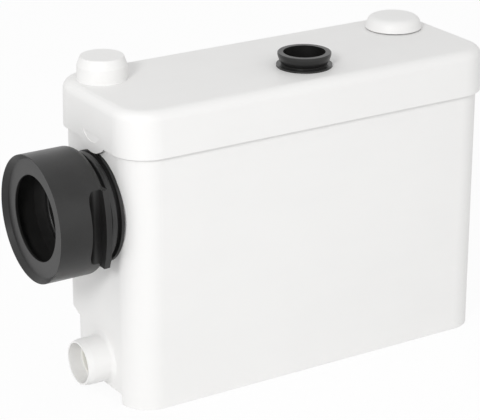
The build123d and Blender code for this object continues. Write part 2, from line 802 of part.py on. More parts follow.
def ears(radius, z0, z1):
    """Four arms that reach from a round piece to the tank posts, with their screw holes."""
    plates = []
    for x, y in post_places:
        angle = math.degrees(math.atan2(y - motor_y, x - motor_x))
        reach = math.hypot(x - motor_x, y - motor_y)
        arm = block(radius - basket_wall, reach, -post_radius, post_radius, z0, z1)
        arm += cylinder(post_radius, z0, z1, reach)
        arm -= cylinder(screw_radius + hole_gap, z0 - overrun, z1 + overrun, reach)
        plates.append(Pos(motor_x, motor_y, 0) * Rot(0, 0, angle) * arm)
    return plates


def make_basket():
    """Slotted basket round the blade, open to the chute on the left, with cutting ribs inside."""
    inner = basket_radius - basket_wall
    body = cylinder(basket_radius, basket_z, basket_top_z)
    body -= cylinder(inner, basket_z + basket_floor, basket_top_z + overrun)
    slot_z = basket_z + basket_floor + blade_clearance
    for i in range(basket_slots):
        angle = 360 / basket_slots * (i + 0.5)
        if math.cos(math.radians(angle)) < -math.sqrt(1 - (window_half_width / basket_radius) ** 2):
            continue
        tool = block(inner - basket_rib_depth, basket_radius + overrun, -basket_slot_width / 2,
                     basket_slot_width / 2, slot_z, slot_z + basket_slot_height)
        body -= Rot(0, 0, angle) * tool
    for i in range(basket_ribs):
        angle = 360 / basket_slots * round(basket_slots * (i - basket_ribs / 2 + 0.5) / (basket_ribs + 2))
        rib = block(inner - basket_rib_depth, inner + basket_wall / 2, -basket_wall / 2, basket_wall / 2,
                    basket_z + basket_floor / 2, slot_z + basket_slot_height)
        body += Rot(0, 0, angle) * rib
    body -= block(-2 * basket_radius, 0, -window_half_width, window_half_width, chute_end_z - chute_wall,
                  basket_top_z - basket_rim)
    for angle in lug_angles:
        body += cylinder(lug_radius, basket_z, basket_z + 2 * basket_floor, *lug_place(angle)) & cylinder(
            inner + basket_wall / 2, basket_z, basket_top_z)
    body -= lug_holes(basket_z - overrun, basket_z + basket_floor + 2 * overrun)
    body -= cylinder(seal_body_radius + seat_gap / 2, basket_z - overrun, basket_z + basket_floor + overrun)
    body = Pos(motor_x, motor_y, 0) * body
    for arm in ears(basket_radius, basket_top_z - basket_rim, basket_top_z):
        body += arm
    return body


# Pump

def spiral(start, step):
    """Volute outline drawn with four quarter arcs, each one step larger than the last."""
    centres = [(step / 2, step / 2), (-step / 2, step / 2), (-step / 2, -step / 2), (step / 2, -step / 2)]
    arcs = [CenterArc(c, start + k * step, -90 + 90 * k, 90) for k, c in enumerate(centres)]
    close = Line(arcs[-1] @ 1, arcs[0] @ 0)
    return make_face(Curve() + arcs + [close])


def pump_lugs(z0, z1):
    """Three screw lugs round the pump."""
    lugs = Pos(0, 0, 0) * cylinder(lug_radius, z0, z1, *lug_place(lug_angles[0]))
    for angle in lug_angles:
        arm = block(volute_start_radius + volute_wall / 2, lug_offset, -lug_radius, lug_radius, z0, z1)
        lugs += Rot(0, 0, angle) * arm
        lugs += cylinder(lug_radius, z0, z1, *lug_place(angle))
    return lugs


def lug_place(angle):
    """Centre of a pump lug, seen from the shaft."""
    turn = math.radians(angle)
    return lug_offset * math.cos(turn), lug_offset * math.sin(turn)


def lug_holes(z0, z1):
    """Holes for the pump screws, about the shaft."""
    holes = [cylinder(screw_radius + hole_gap, z0, z1, *lug_place(angle)) for angle in lug_angles]
    return holes[0] + holes[1] + holes[2]


def outlet_tube(radius, x0, x1):
    """Round bar along X on the pump outlet line."""
    middle = Pos((x0 + x1) / 2, discharge_y, pump_z)
    return middle * Rot(0, 90, 0) * Cylinder(radius, x1 - x0)


def outlet_end_x():
    """End of the pump outlet stub."""
    return motor_x + basket_radius + hose_length / 2 - hose_wall / 2


def make_volute():
    """Spiral pump casing with a flat roof and a tangential outlet stub."""
    place = Pos(motor_x, motor_y, 0)
    wall = spiral(volute_start_radius + volute_wall, volute_step)
    hollow = spiral(volute_start_radius, volute_step)
    body = place * (extrude(Plane.XY.offset(chamber_floor_z) * wall, volute_height + volute_roof)
                    + pump_lugs(chamber_floor_z, basket_z))
    body += outlet_tube(pipe_radius, motor_x, outlet_end_x())
    body = body & block(-tank_length, tank_length, -tank_depth, tank_depth, chamber_floor_z - pipe_radius,
                        basket_z)
    under = spiral(volute_start_radius + volute_wall + seat_gap, volute_step)
    body -= place * extrude(Plane.XY.offset(0) * under, chamber_floor_z)
    body -= place * extrude(Plane.XY.offset(chamber_floor_z - overrun) * hollow, volute_height + overrun)
    body -= outlet_tube(pipe_bore - volute_step / 2, motor_x, outlet_end_x() + overrun)
    body -= place * cylinder(seal_body_radius + seat_gap / 2, chamber_roof_z - overrun, basket_z + overrun)
    return body - place * lug_holes(0, basket_z + overrun)


def make_volute_seal():
    """Seal ring round the shaft in the roof of the pump and the floor of the basket."""
    bore = shaft_radius + shaft_gap
    return Pos(motor_x, motor_y, 0) * turned(
        [(bore, chamber_roof_z), (seal_body_radius, chamber_roof_z),
         (seal_body_radius, basket_z + basket_floor), (bore + overrun, basket_z + basket_floor),
         (bore, basket_z + basket_floor - overrun)])


def make_pump_screws():
    """Three long screws from below through the suction plate and the volute into the basket."""
    low = chamber_floor_z - suction_plate
    screws = []
    for angle in lug_angles:
        x, y = lug_place(angle)
        head = cylinder(screw_head_radius, low - screw_head, low, x, y)
        head = chamfer(head.edges().sort_by(Axis.Z)[0], screw_head / 3)
        shank = cylinder(screw_radius, low, basket_z + basket_floor + overrun, x, y)
        screws.append(Pos(motor_x, motor_y, 0) * (head + shank))
    return screws


def make_suction_plate():
    """Plate that closes the pump from below, with the suction eye."""
    wall = spiral(volute_start_radius + volute_wall, volute_step)
    plate = extrude(Plane.XY.offset(chamber_floor_z - suction_plate) * wall, suction_plate)
    plate += pump_lugs(chamber_floor_z - suction_plate, chamber_floor_z)
    plate -= lug_holes(0, chamber_roof_z)
    plate += cylinder(suction_eye_radius + volute_wall, chamber_floor_z - suction_plate - suction_lip,
                      chamber_floor_z)
    plate -= cylinder(suction_eye_radius, 0, chamber_roof_z)
    return Pos(motor_x, motor_y, 0) * plate


def make_impeller():
    """Open impeller with curved vanes under a back plate."""
    top = chamber_roof_z - impeller_gap
    low = chamber_floor_z + impeller_gap
    body = cylinder(impeller_radius, top - impeller_plate, top)
    hub = shaft_radius + basket_wall
    body += cylinder(hub, low, top)
    vane_arc = impeller_radius * vane_arc_share
    for i in range(vane_count):
        middle = (vane_arc, 0)
        outer = Pos(*middle) * (Circle(vane_arc + vane_thickness / 2) - Circle(vane_arc - vane_thickness / 2))
        half = outer & Pos(impeller_radius, impeller_radius) * Rectangle(2 * impeller_radius,
                                                                       2 * impeller_radius)
        half = half & Circle(impeller_radius)
        vane = extrude(Plane.XY.offset(low) * half, top - low - impeller_plate / 2)
        body += Rot(0, 0, 360 / vane_count * i) * vane
    body -= cylinder(shaft_radius + shaft_gap, 0, top + overrun)
    return Pos(motor_x, motor_y, 0) * body


def make_blade():
    """Steel cutter: a hub with two bevelled arms, their tips turned up."""
    low = blade_z
    top = low + blade_thickness
    hub = shaft_radius + basket_wall
    body = cylinder(hub, low, low + 4 * blade_thickness)
    for side in (0, 180):
        arm = Polyline((0, -blade_width / 2), (blade_half_length - blade_thickness, -blade_width / 2),
                       (blade_half_length, -blade_width / 4), (blade_half_length, blade_width / 3),
                       (0, blade_width / 2), close=True)
        plate = extrude(Plane.XY.offset(low) * make_face(arm), blade_thickness)
        plate -= Pos(blade_half_length / 2, -blade_width / 2, top) * Rot(45, 0, 0) * Box(
            blade_half_length + blade_width, blade_thickness, blade_thickness)
        tip = block(blade_half_length - blade_thickness, blade_half_length, -blade_width / 4,
                    blade_width / 3, low, low + blade_tip_rise)
        body += Rot(0, 0, side) * (plate + tip)
    body -= cylinder(shaft_radius + shaft_gap, low - overrun, low + 5 * blade_thickness)
    return Pos(motor_x, motor_y, 0) * body


# Motor

def make_shaft():
    """Motor shaft, with a thinner threaded end under the impeller."""
    low = chamber_floor_z + impeller_gap
    nut_low = low - suction_plate
    top = can_top_z - overrun
    return Pos(motor_x, motor_y, 0) * turned(
        [(0, nut_low), (shaft_radius - 2 * overrun, nut_low), (shaft_radius - 2 * overrun, low),
         (shaft_radius, low), (shaft_radius, top - overrun), (shaft_radius - overrun, top), (0, top)])


def make_impeller_nut():
    """Hexagon nut that holds the impeller."""
    low = chamber_floor_z + impeller_gap - suction_plate
    nut = extrude(Plane.XY.offset(low) * RegularPolygon(shaft_radius + basket_wall, 6), suction_plate)
    nut -= cylinder(shaft_radius - 2 * overrun + shaft_gap, 0, chamber_roof_z)
    return Pos(motor_x, motor_y, 0) * nut


def bearing(radius, z0, z1):
    """Ball bearing with shallow seal grooves in both faces."""
    bore = shaft_radius + shaft_gap
    third = (radius - bore) / 3
    depth = third / 4
    return Pos(motor_x, motor_y, 0) * turned(
        [(bore, z0), (bore + third, z0), (bore + third, z0 + depth), (radius - third, z0 + depth),
         (radius - third, z0), (radius, z0), (radius, z1), (radius - third, z1), (radius - third, z1 - depth),
         (bore + third, z1 - depth), (bore + third, z1), (bore, z1)])


def make_motor_flange():
    """Lower motor housing: covers the basket and carries the shaft seal and the lower bearing."""
    seat = can_z + lower_bearing_height + overrun
    hub = lower_bearing_radius + 2 * can_wall
    spigot = can_radius - can_wall - seat_gap
    profile = turned(
        [(seal_body_radius + seat_gap / 2, flange_z), (basket_radius, flange_z), (basket_radius, can_z),
         (spigot, can_z), (spigot, can_z + can_wall), (spigot - can_wall, can_z + can_wall),
         (spigot - can_wall, can_z), (hub, can_z), (hub, seat),
         (lower_bearing_radius + seat_gap / 2, seat), (lower_bearing_radius + seat_gap / 2, can_z),
         (seal_body_radius + seat_gap / 2, can_z)])
    body = Pos(motor_x, motor_y, 0) * profile
    for arm in ears(basket_radius, flange_z, can_z):
        body += arm
    return body


def make_shaft_seal():
    """Lip seal in the bottom of the motor housing."""
    bore = shaft_radius + shaft_gap
    return Pos(motor_x, motor_y, 0) * turned(
        [(bore, flange_z + overrun / 2), (seal_body_radius, flange_z + overrun / 2),
         (seal_body_radius, can_z), (bore, can_z), (bore, can_z - overrun),
         (bore + overrun, can_z - 2 * overrun), (bore + overrun, flange_z + 2 * overrun),
         (bore, flange_z + overrun)])


def screw_ring(offset, x, y):
    """Four places on a circle, on the diagonals."""
    side = offset / math.sqrt(2)
    return [(x + i * side, y + j * side) for i in (-1, 1) for j in (-1, 1)]


def make_can():
    """Sealed motor can with screw bosses at its top."""
    body = ring_wall(can_radius, can_radius - can_wall, can_z, can_top_z, motor_x, motor_y)
    for x, y in screw_ring(can_screw_offset, motor_x, motor_y):
        body += cylinder(can_ear_radius, can_top_z - 2 * screw_bite, can_top_z, x, y) - cylinder(
            can_radius - can_wall / 2, can_z, can_top_z + overrun, motor_x, motor_y)
        body -= cylinder(screw_radius + hole_gap, can_top_z - 1.5 * screw_bite, can_top_z + overrun, x, y)
    ledge = ring_wall(can_radius - can_wall / 2, can_radius - 2 * can_wall, stator_z - can_wall, stator_z,
                      motor_x, motor_y)
    return body + ledge


def make_motor_cover():
    """Upper motor cover with the bearing pot and four ears."""
    pot_low = can_top_z - cover_hub_height
    pot = upper_bearing_radius + can_wall
    low = can_top_z
    high = can_top_z + cover_thickness
    body = Pos(motor_x, motor_y, 0) * turned(
        [(0, high + can_wall), (pot - can_wall, high + can_wall), (pot, high), (can_radius, high),
         (can_radius, low), (pot, low), (pot, pot_low), (upper_bearing_radius + seat_gap / 2, pot_low),
         (upper_bearing_radius + seat_gap / 2, pot_low + upper_bearing_height),
         (shaft_radius + can_wall, pot_low + upper_bearing_height), (shaft_radius + can_wall, high - can_wall),
         (0, high - can_wall)])
    for x, y in screw_ring(can_screw_offset, motor_x, motor_y):
        body += cylinder(can_ear_radius, low, high, x, y)
        body -= cylinder(screw_radius + hole_gap, low - overrun, high + overrun, x, y)
    x, y, z = lead_end()
    body += cylinder(2 * lead_radius, z - overrun, z + 2 * lead_radius, x, y)
    body -= cylinder(lead_radius + hole_gap, z, z + 3 * lead_radius, x, y)
    return body


def make_stator():
    """Laminated stator ring with winding slots round its bore."""
    outer = can_radius - can_wall - seat_gap / 2
    body = ring_wall(outer, stator_bore, stator_z, stator_z + stator_height)
    for i in range(slot_count):
        tool = block(0, stator_bore + slot_depth, -slot_width / 2, slot_width / 2, stator_z - overrun,
                     stator_z + stator_height + overrun)
        body -= Rot(0, 0, 360 / slot_count * i) * tool
    return Pos(motor_x, motor_y, 0) * body


def make_windings():
    """Copper windings: bars in the slots joined by the end turns above and below the stator."""
    inner = stator_bore + slot_depth / 3
    outer = stator_bore + slot_depth - seat_gap
    half = slot_width / 2 - seat_gap
    low = stator_z - coil_overhang
    high = stator_z + stator_height + coil_overhang
    body = ring_wall(outer, inner, low, stator_z - seat_gap)
    body += ring_wall(outer, inner, stator_z + stator_height + seat_gap, high)
    for i in range(slot_count):
        bar = block(inner + seat_gap, outer - seat_gap, -half, half, stator_z - overrun,
                    stator_z + stator_height + overrun)
        body += Rot(0, 0, 360 / slot_count * i) * bar
    return Pos(motor_x, motor_y, 0) * body


def make_rotor():
    """Rotor core with end rings and small cooling vanes."""
    radius = stator_bore - air_gap
    low = stator_z
    high = stator_z + stator_height
    body = cylinder(radius, low, high)
    body += cylinder(radius - can_wall, low - can_wall, high + can_wall)
    for i in range(vane_count):
        vane = block(radius / 2, radius - 2 * can_wall, -vane_thickness / 2, vane_thickness / 2,
                     low - 3 * can_wall, high + 3 * can_wall)
        body += Rot(0, 0, 360 / vane_count * i) * vane
    body -= cylinder(shaft_radius + shaft_gap, low - screw_bite, high + screw_bite)
    return Pos(motor_x, motor_y, 0) * body


# Discharge

def make_riser():
    """Discharge riser: level from the pump, a bend, then straight up to the valve."""
    start = (outlet_end_x() + seat_gap, discharge_y, pump_z)
    corner = (discharge_x - riser_bend, discharge_y, pump_z)
    level = Line(start, corner)
    bend = TangentArc(corner, (discharge_x, discharge_y, pump_z + riser_bend), tangent=(1, 0, 0))
    rise = Line(bend @ 1, (discharge_x, discharge_y, riser_top_z))
    path = Wire([level, bend, rise])
    face = Plane(origin=start, z_dir=(1, 0, 0))
    return sweep(face * Circle(pipe_radius), path=path) - sweep(face * Circle(pipe_bore), path=path)


def make_outlet_hose():
    """Short rubber hose that joins the pump outlet to the riser."""
    middle = outlet_end_x()
    x0 = middle - hose_length / 2
    x1 = middle + hose_length / 2
    inner = pipe_radius + seat_gap / 2
    return outlet_tube(inner + hose_wall, x0, x1) - outlet_tube(inner, x0 - overrun, x1 + overrun)


def make_valve_body():
    """Non-return valve on top of the riser: socket, seat, round chamber and outlet neck."""
    grip = pipe_radius + seat_gap / 2
    socket = grip + valve_socket_wall
    seat = riser_top_z + valve_wall
    high = seat + valve_chamber_height
    neck_z = high + valve_cone
    neck_bore = valve_neck_radius - valve_wall
    chamber = valve_chamber_radius - valve_wall
    profile = turned(
        [(grip, riser_top_z - valve_socket_depth), (socket, riser_top_z - valve_socket_depth),
         (socket, riser_top_z - valve_socket_wall), (valve_chamber_radius, riser_top_z + valve_wall),
         (valve_chamber_radius, high), (valve_neck_radius, neck_z),
         (valve_neck_radius, neck_z + valve_neck_height), (neck_bore, neck_z + valve_neck_height),
         (neck_bore, neck_z), (chamber, high), (chamber, seat), (pipe_bore + flap_bead, seat),
         (pipe_bore + flap_bead, seat + seat_rise), (pipe_bore, seat + seat_rise), (pipe_bore, riser_top_z),
         (grip, riser_top_z)])
    body = Pos(discharge_x, discharge_y, 0) * profile
    return body + valve_seat() * ear_pair(pipe_bore)


def socket_span():
    """Lower and upper end of the rubber outlet socket."""
    neck_z = riser_top_z + valve_wall + valve_chamber_height + valve_cone
    return neck_z + seat_gap, lid_top_z - outlet_socket_gap


def make_outlet_socket():
    """Rubber socket between the valve neck and the discharge pipe that comes through the lid."""
    z0, z1 = socket_span()
    inner = valve_neck_radius + seat_gap / 2
    outer = inner + outlet_socket_wall
    return Pos(discharge_x, discharge_y, 0) * turned(
        [(inner, z0), (outer, z0), (outer, z1 - overrun), (outer - overrun, z1), (inner + overrun, z1),
         (inner, z1 - overrun)])


def clamp_band(radius):
    """Hose clamp round Z: a thin band with its worm-screw housing."""
    band = ring_wall(radius + clamp_thickness, radius, -clamp_width / 2, clamp_width / 2)
    house = block(-clamp_width / 2, clamp_width / 2, radius + clamp_thickness / 2, radius + clamp_width / 2,
                  -clamp_width / 2, clamp_width / 2)
    worm = Pos(0, radius + clamp_width / 4 + clamp_thickness, 0) * Rot(0, 90, 0) * Cylinder(
        clamp_width / 4, 1.5 * clamp_width)
    return band + house + worm


def make_hose_clamps():
    """Three hose clamps: two on the pump outlet hose and one on the outlet socket."""
    hose = pipe_radius + seat_gap / 2 + hose_wall + seat_gap / 2
    rim = valve_neck_radius + seat_gap / 2 + outlet_socket_wall + seat_gap / 2
    quarter = hose_length / 4
    clamps = [Pos(outlet_end_x() + s * quarter, discharge_y, pump_z) * Rot(0, 90, 0) * Rot(0, 0, 90)
              * clamp_band(hose) for s in (-1, 1)]
    z0 = socket_span()[0]
    clamps.append(Pos(discharge_x, discharge_y, z0 + clamp_width) * Rot(0, 0, -90) * clamp_band(rim))
    return clamps


# Pressure switch

def deck_ear(x, reach):
    """Two arms along Y from a piece on the deck to its pair of tank posts."""
    arms = []
    for side in (-1, 1):
        y = side * deck_post_y
        lo, hi = sorted((side * reach, y))
        arm = block(x - ear_width / 2, x + ear_width / 2, lo, hi, deck_z, deck_z + ear_plate)
        arm += cylinder(ear_width / 2, deck_z, deck_z + ear_plate, x, y)
        arm -= cylinder(screw_radius + hole_gap, deck_z - overrun, deck_z + ear_plate + overrun, x, y)
        arms.append(arm)
    return arms


def make_bell():
    """Dip tube open at the bottom, with the lower half of the diaphragm chamber on top."""
    low = floor_z + bell_floor_gap
    bore = bell_radius - bell_wall
    top = deck_z + dish_height
    profile = turned(
        [(bell_radius, low), (bell_radius, deck_z), (dish_radius, deck_z), (dish_radius, top),
         (dish_radius - dish_wall, top), (dish_radius - dish_wall, deck_z + dish_wall),
         (bell_wall, deck_z + dish_wall), (bell_wall, deck_z - dish_wall), (bore, deck_z - dish_wall),
         (bore, low)])
    body = Pos(bell_x, 0, 0) * profile
    for arm in deck_ear(bell_x, dish_radius - overrun):
        body += arm
    return body


def make_diaphragm():
    """Rubber diaphragm with one raised roll, clamped between the dish and the switch housing."""
    z = deck_z + dish_height
    t = diaphragm_thickness
    roll = plunger_plate_radius + 2 * overrun
    return Pos(bell_x, 0, 0) * turned(
        [(0, z), (roll, z), (roll + t, z + t), (roll + 3 * t, z + t), (roll + 4 * t, z), (dish_radius, z),
         (dish_radius, z + t), (roll + 4 * t + overrun, z + t), (roll + 3 * t + overrun, z + 2 * t),
         (roll + t - overrun, z + 2 * t), (roll - overrun, z + t), (0, z + t)])


def lever_rest_angle():
    """Lean of the switch lever at rest, in degrees; the plunger's travel brings it level."""
    return math.degrees(math.atan(plunger_travel / (lever_reach + plunger_stem_radius)))


def plunger_top_z():
    """Top of the plunger stem at rest, just under the leaning lever."""
    lean = math.radians(lever_rest_angle())
    return pivot_z() - plunger_travel - lever_thickness / 2 / math.cos(lean) - seat_gap


def pivot_z():
    """Height of the lever pivot."""
    return micro_low_z() - button_height / 2 - lever_thickness


def micro_low_z():
    """Underside of the microswitch."""
    return deck_z + dish_height + switch_height - dish_wall - micro_height - 3 * overrun


def pivot_x():
    """Pivot of the lever, left of the plunger."""
    return bell_x - lever_reach


def make_plunger():
    """Plunger: a plate on the diaphragm with a stem up to the lever."""
    z = deck_z + dish_height + diaphragm_thickness + seat_gap
    top = plunger_top_z()
    return Pos(bell_x, 0, 0) * turned(
        [(0, z), (plunger_plate_radius, z), (plunger_plate_radius, z + plunger_plate),
         (plunger_stem_radius + overrun, z + plunger_plate),
         (plunger_stem_radius, z + 2 * plunger_plate), (plunger_stem_radius, top - overrun),
         (plunger_stem_radius - overrun, top), (0, top)])


def make_switch_housing():
    """Upper half of the diaphragm chamber, a closed cap with a rib that carries the microswitch."""
    low = deck_z + dish_height + diaphragm_thickness
    high = deck_z + dish_height + switch_height
    shoulder = low + dish_height
    waist = dish_radius - 2 * dish_wall
    profile = turned(
        [(dish_radius - dish_wall, low), (dish_radius, low), (dish_radius, shoulder - dish_wall),
         (waist, shoulder), (waist, high - dish_wall), (waist - dish_wall, high), (0, high),
         (0, high - dish_wall), (waist - dish_wall, high - dish_wall), (waist - dish_wall, shoulder),
         (dish_radius - dish_wall, shoulder - 2 * dish_wall)])
    rib_y = micro_thickness / 2 + seat_gap
    rib = block(-micro_length / 2, micro_length / 2, rib_y, rib_y + dish_wall, micro_low_z(),
                high - dish_wall / 2)
    body = Pos(bell_x, 0, 0) * (profile + rib)
    body -= Pos(bell_x + waist, 0, switch_lead_z()) * Rot(0, 90, 0) * Cylinder(lead_radius + hole_gap,
                                                                            4 * dish_wall)
    for x, z in micro_holes():
        peg = Cylinder(micro_hole_radius - seat_gap, micro_thickness)
        body += Pos(x, rib_y - micro_thickness / 2 + overrun, z) * Rot(90, 0, 0) * peg
    return body


def micro_holes():
    """Fixing holes of the microswitch."""
    x0 = pivot_x() - 2 * overrun
    z = micro_low_z() + micro_height / 2
    return [(x0 + share * micro_length, z) for share in micro_hole_shares]


def make_microswitch():
    """Microswitch body with its two fixing holes, three tags and a pivot lug."""
    x0 = pivot_x() - 2 * overrun
    low = micro_low_z()
    body = block(x0, x0 + micro_length, -micro_thickness / 2, micro_thickness / 2, low, low + micro_height)
    for x, z in micro_holes():
        body -= Pos(x, 0, z) * Rot(90, 0, 0) * Cylinder(micro_hole_radius, 2 * micro_thickness)
    lug_half = lever_width / 2 + seat_gap
    reach = 2 * lever_thickness + overrun / 2
    for side in (-1, 1):
        y0, y1 = sorted((side * lug_half, side * (lug_half + overrun)))
        body += block(pivot_x() - reach, pivot_x() + reach, y0, y1, pivot_z() - reach, low + overrun)
    body -= Pos(pivot_x(), 0, pivot_z()) * Rot(90, 0, 0) * Cylinder(lever_thickness + pin_gap / 2,
                                                                  2 * lever_width)
    body -= cylinder(button_radius + pin_gap, low - overrun, low + 2 * button_height,
                     pivot_x() + button_reach, 0)
    return body


def make_lever():
    """Spring-steel lever, leaning down from its pivot to the plunger."""
    strip = block(0, lever_length, -lever_width / 2, lever_width / 2, -lever_thickness / 2,
                  lever_thickness / 2)
    strip += Rot(90, 0, 0) * Cylinder(lever_thickness, lever_width + 2 * seat_gap + 2 * overrun)
    return Pos(pivot_x(), 0, pivot_z()) * Rot(0, lever_rest_angle(), 0) * strip


def make_button():
    """Button of the microswitch, just above the lever."""
    lean = math.radians(lever_rest_angle())
    near = button_reach - button_radius
    low = pivot_z() - math.tan(lean) * near + lever_thickness / 2 / math.cos(lean) + seat_gap
    high = micro_low_z() + button_height / 2
    return cylinder(button_radius, low, high, pivot_x() + button_reach, 0)


# Electrics

def box_face(side):
    """X of one end face of the electrics box."""
    return box_x + side * box_length / 2


def make_electrics_box():
    """Open-topped box that keeps the electrics dry, carried on two tank posts."""
    top = deck_z + box_height
    body = block(box_face(-1), box_face(1), -box_depth / 2, box_depth / 2, deck_z, top)
    body = fillet(body.edges().filter_by(Axis.Z), 2 * box_wall)
    hollow = block(box_face(-1) + box_wall, box_face(1) - box_wall, -box_depth / 2 + box_wall,
                   box_depth / 2 - box_wall, deck_z + box_wall, top + overrun)
    hollow = fillet(hollow.edges().filter_by(Axis.Z), box_wall)
    pads = []
    for x, y in box_screws():
        pads.append(cylinder(2 * screw_radius, deck_z + box_height / 2, top, x, y))
    for pad in pads:
        hollow -= pad
    body -= hollow
    for x, y in box_screws():
        body -= cylinder(screw_radius + hole_gap, top - 1.5 * screw_bite, top + overrun, x, y)
    for arm in deck_ear(box_x, box_depth / 2 - box_wall / 2):
        body += arm
    for y, z in ((lead_line_y(), lead_exit_z()), (0, switch_lead_z())):
        body -= Pos(box_face(-1), y, z) * Rot(0, 90, 0) * Cylinder(lead_radius + hole_gap, 4 * box_wall)
    return body


def box_screws():
    """Four places for the cover screws, near the corners of the box."""
    x = box_length / 2 - 2 * box_wall
    y = box_depth / 2 - 2 * box_wall
    return [(box_x + i * x, j * y) for i in (-1, 1) for j in (-1, 1)]


def make_electrics_cover():
    """Flat cover of the electrics box with a shallow raised field."""
    low = deck_z + box_height
    body = block(box_face(-1), box_face(1), -box_depth / 2, box_depth / 2, low, low + box_cover)
    body = fillet(body.edges().filter_by(Axis.Z), 2 * box_wall)
    field = block(box_face(-1) + 4 * box_wall, box_face(1) - 4 * box_wall, -box_depth / 2 + 4 * box_wall,
                  box_depth / 2 - 4 * box_wall, low + box_cover / 2, low + 2 * box_cover)
    body += chamfer(field.edges().group_by(Axis.Z)[-1], box_cover / 2)
    for x, y in box_screws():
        body -= cylinder(screw_radius + hole_gap, low - overrun, low + box_cover + overrun, x, y)
    return body


def capacitor_place():
    """Centre of the run capacitor in the box."""
    x = box_face(-1) + box_wall + capacitor_radius + 3 * overrun
    return x, -box_depth / 2 + box_wall + capacitor_radius + capacitor_side_gap


def make_capacitor():
    """Run capacitor with two tags on top."""
    x, y = capacitor_place()
    low = deck_z + box_wall
    can = chamfer(cylinder(capacitor_radius, low, low + capacitor_height, x, y).edges(), overrun)
    for side in (-1, 1):
        can += block(x + side * lever_width - overrun / 2, x + side * lever_width + overrun / 2,
                     y - lever_width / 2, y + lever_width / 2, low + capacitor_height - overrun,
                     low + capacitor_height + lever_width)
    return can


def make_terminal_block():
    """Terminal block with a row of screw wells, on the floor of the box."""
    x1 = box_face(1) - box_wall - block_depth
    y0 = box_depth / 2 - 4 * box_wall - block_length
    low = deck_z + box_wall
    body = block(x1, x1 + block_depth, y0, y0 + block_length, low, low + block_height)
    pitch = block_length / 4
    for i in range(4):
        y = y0 + (i + 0.5) * pitch
        body -= cylinder(pitch / 4, low + block_height / 2, low + block_height + overrun,
                         x1 + block_depth / 2, y)
    return body


def lead_line_y():
    """Line across the tank on which the motor lead lies."""
    return motor_y + can_radius / 3


def lead_exit_z():
    """Height at which the motor lead leaves the electrics box."""
    return deck_z + box_height - screw_bite


def lead_end():
    """Where the motor lead meets the motor cover."""
    return motor_x + can_radius / 2, lead_line_y(), can_top_z + cover_thickness


def make_leads():
    """Sheathed leads from the electrics box: one over to the motor cover, a short one to the switch."""
    start = (box_face(-1) + box_wall, lead_line_y(), lead_exit_z())
    crest = can_top_z + cover_thickness + lead_bend + 2 * lead_radius
    x, y, z = lead_end()
    route = [start, (box_face(-1) - lead_bend - 2 * lead_radius, y, lead_exit_z()),
             (box_face(-1) - 2 * lead_bend, y, crest), (x, y, crest), (x, y, z)]
    path = FilletPolyline(*route, radius=lead_bend)
    motor_lead = sweep(Plane(origin=start, z_dir=(-1, 0, 0)) * Circle(lead_radius), path=path)
    near = bell_x + dish_radius - 4 * dish_wall
    far = box_face(-1) + 2 * box_wall
    switch_lead = Rot(0, 90, 0) * Cylinder(lead_radius, far - near)
    return [motor_lead, Pos((near + far) / 2, 0, switch_lead_z()) * switch_lead]


def switch_lead_z():
    """Height of the short lead between the box and the switch."""
    return deck_z + dish_height + switch_height - lead_bend


def make_cable_bush():
    """Rubber bush for the mains lead in the rear wall, under the lid skirt."""
    hole = bush_radius - tank_wall
    out = skirt_overhang / 2
    low = -tank_wall - out
    body = turned(
        [(bush_bore, low), (hole, low), (hole + out / 2, -tank_wall - seat_gap),
         (hole - seat_gap / 2, -tank_wall - seat_gap), (hole - seat_gap / 2, 0), (bush_radius, 0),
         (bush_radius, out / 2), (bush_radius - out / 2, out), (bush_bore, out)])
    return Pos(bush_x, tank_depth / 2, bush_z) * Rot(-90, 0, 0) * body


# Screws

def make_post_screws():
    """Four screws through the motor flange and basket into the tank posts."""
    return [screw(x, y, can_z, flange_thickness + basket_rim + screw_bite / 2) for x, y in post_places]


def make_cover_screws():
    """Four screws that hold the motor cover."""
    z = can_top_z + cover_thickness
    return [screw(x, y, z) for x, y in screw_ring(can_screw_offset, motor_x, motor_y)]


def make_deck_screws():
    """Four screws that hold the pressure switch and the electrics box on the tank posts."""
    return [screw(x, y, deck_z + ear_plate) for x, y in deck_posts]


def make_box_screws():
    """Four screws in the cover of the electrics box."""
    return [screw(x, y, deck_z + box_height + box_cover) for x, y in box_screws()]


inlet_place = inward(end_axis_y, inlet_z)
side_place = inward(spigot_y, spigot_z)

